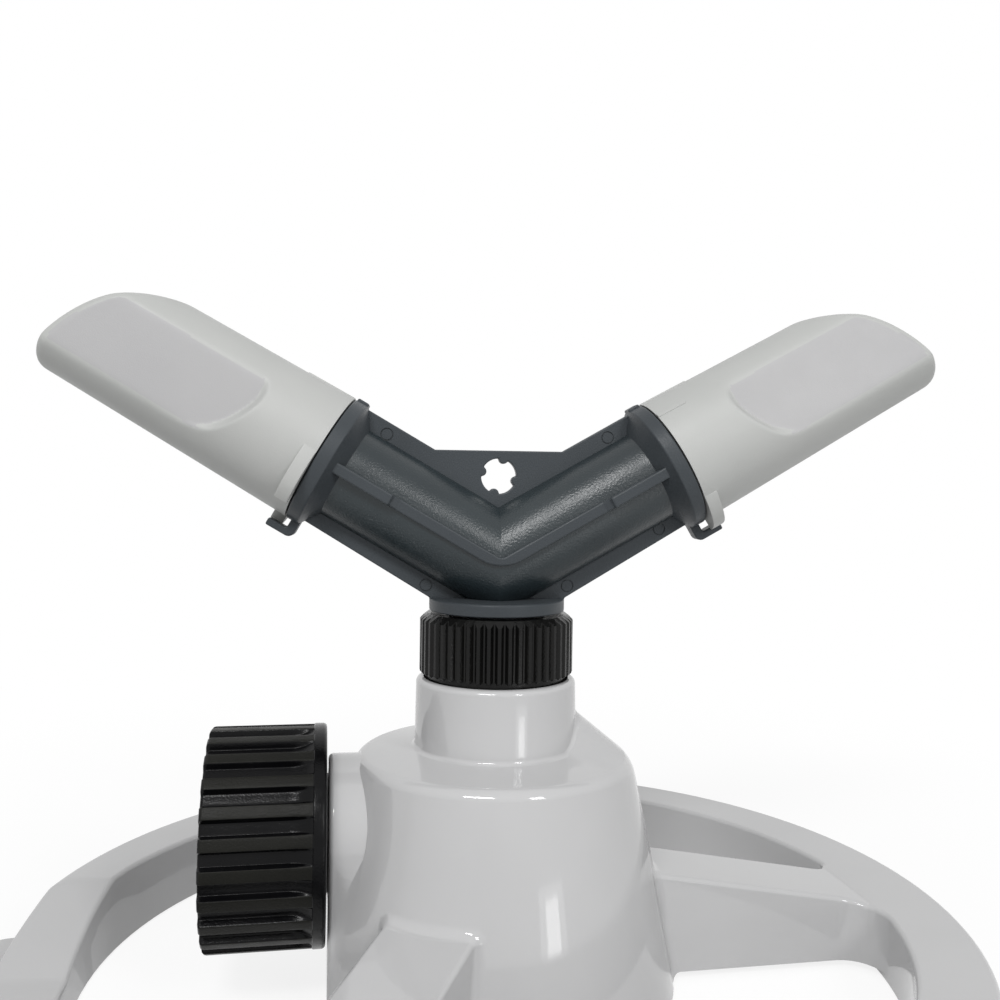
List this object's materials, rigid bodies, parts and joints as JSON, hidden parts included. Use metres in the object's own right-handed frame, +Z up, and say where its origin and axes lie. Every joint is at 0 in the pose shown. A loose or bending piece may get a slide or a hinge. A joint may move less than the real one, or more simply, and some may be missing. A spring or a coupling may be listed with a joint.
{
  "type": "rotary lawn sprinkler",
  "caption": "Free-standing rotary lawn sprinkler: spoked ring foot, conical hub with a swivel hose nut, and a spinning V-shaped arm with turnable spray caps.",
  "frame": {"origin": "on the rotor's axis, at the underside of the hub and of the ring foot", "axes": "+Z up along the rotor's axis, -X out of the hose inlet, Y across"},
  "size_m": [0.1587, 0.1494, 0.1077],
  "materials": {
    "base_plastic": "glossy light grey moulding",
    "cap_plastic": "fine matt light grey moulding",
    "rotor_plastic": "satin dark grey, grained tubes",
    "black_plastic": "semi-gloss black moulding",
    "pipe_plastic": "plain black moulding",
    "filter_plastic": "plain white moulding",
    "bearing_plastic": "smooth natural bearing plastic",
    "seal_rubber": "soft black rubber",
    "steel": "plain stainless steel"
  },
  "bodies": {
    "base": {"base_moulding": "base_plastic", "hub_cover": "base_plastic", "cover_screws": "steel", "water_elbow": "pipe_plastic", "inlet_spud": "pipe_plastic", "spud_seal": "seal_rubber", "hose_washer": "seal_rubber", "inlet_filter": "filter_plastic", "bearing_collar": "black_plastic", "bearing_bush": "bearing_plastic", "collar_gasket": "seal_rubber", "spindle_seal": "seal_rubber", "lower_thrust_washer": "bearing_plastic", "upper_thrust_washer": "bearing_plastic"},
    "nut": {"swivel_nut": "black_plastic"},
    "rotor": {"rotor_arm": "rotor_plastic", "retaining_clip": "steel", "left_cap_seal": "seal_rubber", "right_cap_seal": "seal_rubber"},
    "left_cap": {"left_nozzle_cap": "cap_plastic"},
    "right_cap": {"right_nozzle_cap": "cap_plastic"}
  },
  "joints": [
    {"name": "rotor_spin", "type": "hinge", "parent": "base", "child": "rotor", "pos_m": [0, 0, 0.06675], "axis": [0, 0, 1], "continuous": true},
    {"name": "nut_spin", "type": "hinge", "parent": "base", "child": "nut", "pos_m": [-0.0357, 0, 0.024], "axis": [-1, 0, 0], "continuous": true},
    {"name": "left_cap_turn", "type": "hinge", "parent": "rotor", "child": "left_cap", "pos_m": [0, 0, 0.06675], "axis": [-0.8625, 0.0785, 0.5], "range_deg": [-40, 0]},
    {"name": "right_cap_turn", "type": "hinge", "parent": "rotor", "child": "right_cap", "pos_m": [0, 0, 0.06675], "axis": [0.8625, -0.0785, 0.5], "range_deg": [-40, 0]}
  ]
}
